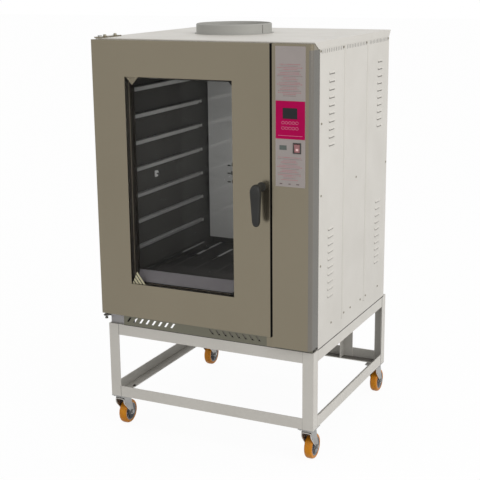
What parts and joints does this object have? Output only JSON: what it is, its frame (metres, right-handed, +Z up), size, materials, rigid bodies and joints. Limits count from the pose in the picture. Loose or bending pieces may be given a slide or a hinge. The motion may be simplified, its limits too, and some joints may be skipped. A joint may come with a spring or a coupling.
{
  "type": "convection oven",
  "caption": "Free-standing convection oven with a glazed side-hinged door, control column, tray guides and fan behind a baffle, on an angle-steel stand with swivel casters",
  "frame": {"origin": "on the floor under the middle of the stand", "axes": "+X to the right seen from the front, +Y to the back, +Z up"},
  "size_m": [1.04, 1.1303, 1.861],
  "materials": {
    "white_enamel": "smooth off-white enamel",
    "taupe_enamel": "satin metallic taupe",
    "dark_steel": "dark satin",
    "zinc_steel": "bright zinc plated",
    "stainless": "satin stainless steel",
    "cavity_enamel": "dark vitreous enamel",
    "cast_hub": "cast grey",
    "orange_tyre": "orange polyurethane",
    "mineral_wool": "loose fibre",
    "motor_paint": "grey motor paint",
    "brass_fitting": "turned",
    "door_glass": "clear toughened glass",
    "gasket_rubber": "matt silicone",
    "handle_plastic": "dark charcoal",
    "module_plastic": "glossy magenta",
    "display_plastic": "dark display window",
    "black_plastic": "black",
    "rocker_plastic": "lit red"
  },
  "bodies": {
    "oven": {"stand_legs": "white_enamel", "stand_upper_frame": "white_enamel", "stand_lower_frame": "white_enamel", "caster_plates": "zinc_steel", "base_pan": "zinc_steel", "side_panel_left": "white_enamel", "side_panel_right": "white_enamel", "rear_panel": "white_enamel", "motor_cover": "white_enamel", "top_cover": "white_enamel", "flue_collar": "white_enamel", "front_frame": "taupe_enamel", "control_column": "taupe_enamel", "front_skirt": "taupe_enamel", "hinge_strap": "dark_steel", "hinge_bracket": "zinc_steel", "hinge_pins": "zinc_steel", "cavity_liner": "cavity_enamel", "cavity_sill": "stainless", "tray_rails_left": "stainless", "tray_rails_right": "stainless", "insulation": "mineral_wool", "temperature_probe": "stainless", "fan_baffle": "stainless", "fan_motor": "motor_paint", "burner_tubes": "stainless", "valve_box": "dark_steel", "gas_inlet": "brass_fitting", "latch_keeper": "zinc_steel", "control_module": "module_plastic", "display_window": "display_plastic", "rocker_bezel": "black_plastic", "indicator_lamp": "black_plastic"},
    "door": {"door_skin": "taupe_enamel", "door_inner_frame": "dark_steel", "outer_glass": "door_glass", "inner_glass": "door_glass", "glass_clips": "dark_steel", "door_gasket": "gasket_rubber"},
    "handle": {"handle_lever": "handle_plastic", "latch_cam": "zinc_steel"},
    "rocker": {"rocker_key": "rocker_plastic"},
    "fan": {"fan_impeller": "stainless", "fan_shaft": "stainless"},
    "caster_fl": {"caster_fork_fl": "zinc_steel", "caster_axle_fl": "zinc_steel"},
    "caster_fr": {"caster_fork_fr": "zinc_steel", "caster_axle_fr": "zinc_steel"},
    "caster_rl": {"caster_fork_rl": "zinc_steel", "caster_axle_rl": "zinc_steel"},
    "caster_rr": {"caster_fork_rr": "zinc_steel", "caster_axle_rr": "zinc_steel"},
    "wheel_fl": {"caster_hub_fl": "cast_hub", "caster_tyre_fl": "orange_tyre"},
    "wheel_fr": {"caster_hub_fr": "cast_hub", "caster_tyre_fr": "orange_tyre"},
    "wheel_rl": {"caster_hub_rl": "cast_hub", "caster_tyre_rl": "orange_tyre"},
    "wheel_rr": {"caster_hub_rr": "cast_hub", "caster_tyre_rr": "orange_tyre"}
  },
  "joints": [
    {"name": "door_hinge", "type": "hinge", "parent": "oven", "child": "door", "pos_m": [-0.497, -0.475, 1.191], "axis": [0, 0, -1], "range_deg": [0, 135]},
    {"name": "handle_turn", "type": "hinge", "parent": "door", "child": "handle", "pos_m": [0.285, -0.52, 1.224], "axis": [0, 1, 0], "range_deg": [0, 90]},
    {"name": "rocker_tilt", "type": "hinge", "parent": "oven", "child": "rocker", "pos_m": [0.4445, -0.502, 1.394], "axis": [-1, 0, 0], "range_deg": [0, 16]},
    {"name": "fan_spin", "type": "hinge", "parent": "oven", "child": "fan", "pos_m": [-0.094, 0.33, 1.11], "axis": [0, 1, 0], "continuous": true},
    {"name": "caster_fl_swivel", "type": "hinge", "parent": "oven", "child": "caster_fl", "pos_m": [-0.474, -0.434, 0.148], "axis": [0, 0, 1], "continuous": true},
    {"name": "caster_fr_swivel", "type": "hinge", "parent": "oven", "child": "caster_fr", "pos_m": [0.474, -0.434, 0.148], "axis": [0, 0, 1], "continuous": true},
    {"name": "caster_rl_swivel", "type": "hinge", "parent": "oven", "child": "caster_rl", "pos_m": [-0.474, 0.434, 0.148], "axis": [0, 0, 1], "continuous": true},
    {"name": "caster_rr_swivel", "type": "hinge", "parent": "oven", "child": "caster_rr", "pos_m": [0.474, 0.434, 0.148], "axis": [0, 0, 1], "continuous": true},
    {"name": "wheel_fl_roll", "type": "hinge", "parent": "caster_fl", "child": "wheel_fl", "pos_m": [-0.474, -0.397, 0.057], "axis": [1, 0, 0], "continuous": true},
    {"name": "wheel_fr_roll", "type": "hinge", "parent": "caster_fr", "child": "wheel_fr", "pos_m": [0.474, -0.397, 0.057], "axis": [1, 0, 0], "continuous": true},
    {"name": "wheel_rl_roll", "type": "hinge", "parent": "caster_rl", "child": "wheel_rl", "pos_m": [-0.474, 0.471, 0.057], "axis": [1, 0, 0], "continuous": true},
    {"name": "wheel_rr_roll", "type": "hinge", "parent": "caster_rr", "child": "wheel_rr", "pos_m": [0.474, 0.471, 0.057], "axis": [1, 0, 0], "continuous": true}
  ]
}
